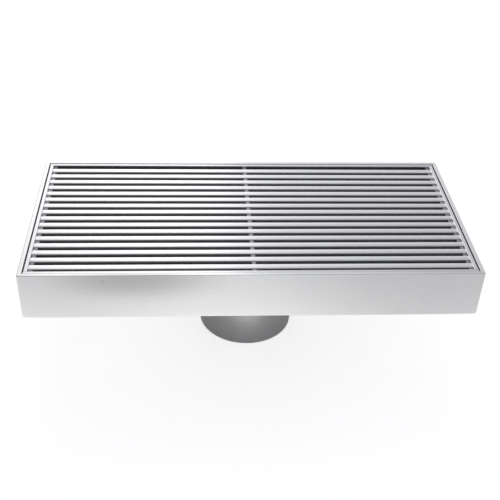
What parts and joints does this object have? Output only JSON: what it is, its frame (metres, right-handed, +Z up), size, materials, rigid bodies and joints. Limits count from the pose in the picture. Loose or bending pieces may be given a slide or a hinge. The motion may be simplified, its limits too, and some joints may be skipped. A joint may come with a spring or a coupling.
{
  "type": "linear floor drain",
  "caption": "Linear floor drain: a shallow sheet tray with a hemmed rim, a lift-out grate of long parallel bars, and a round outlet spigot below.",
  "frame": {"origin": "centre of the outlet spigot's lower rim, which is the bottom centre of the whole drain", "axes": "+X along the tray, -Y is the front long side, +Z up out of the floor; the spigot points down along -Z"},
  "size_m": [0.3, 0.143, 0.092],
  "materials": {
    "tray_sheet": "brushed along the tray",
    "spigot_tube": "dull satin, turned round the tube",
    "grate_frame": "brushed along each bar",
    "grate_cross_bars": "satin",
    "grate_bars": "fine satin along each bar"
  },
  "bodies": {
    "root": {"drain_tray": "tray_sheet", "outlet_spigot": "spigot_tube", "grate_front_rail": "grate_frame", "grate_back_rail": "grate_frame", "grate_left_end_bar": "grate_frame", "grate_right_end_bar": "grate_frame", "grate_left_cross_bar": "grate_cross_bars", "grate_centre_cross_bar": "grate_cross_bars", "grate_right_cross_bar": "grate_cross_bars", "grate_bar_01": "grate_bars", "grate_bar_02": "grate_bars", "grate_bar_03": "grate_bars", "grate_bar_04": "grate_bars", "grate_bar_05": "grate_bars", "grate_bar_06": "grate_bars", "grate_bar_07": "grate_bars", "grate_bar_08": "grate_bars", "grate_bar_09": "grate_bars", "grate_bar_10": "grate_bars", "grate_bar_11": "grate_bars", "grate_bar_12": "grate_bars", "grate_bar_13": "grate_bars", "grate_bar_14": "grate_bars", "grate_bar_15": "grate_bars", "grate_bar_16": "grate_bars"}
  },
  "joints": []
}
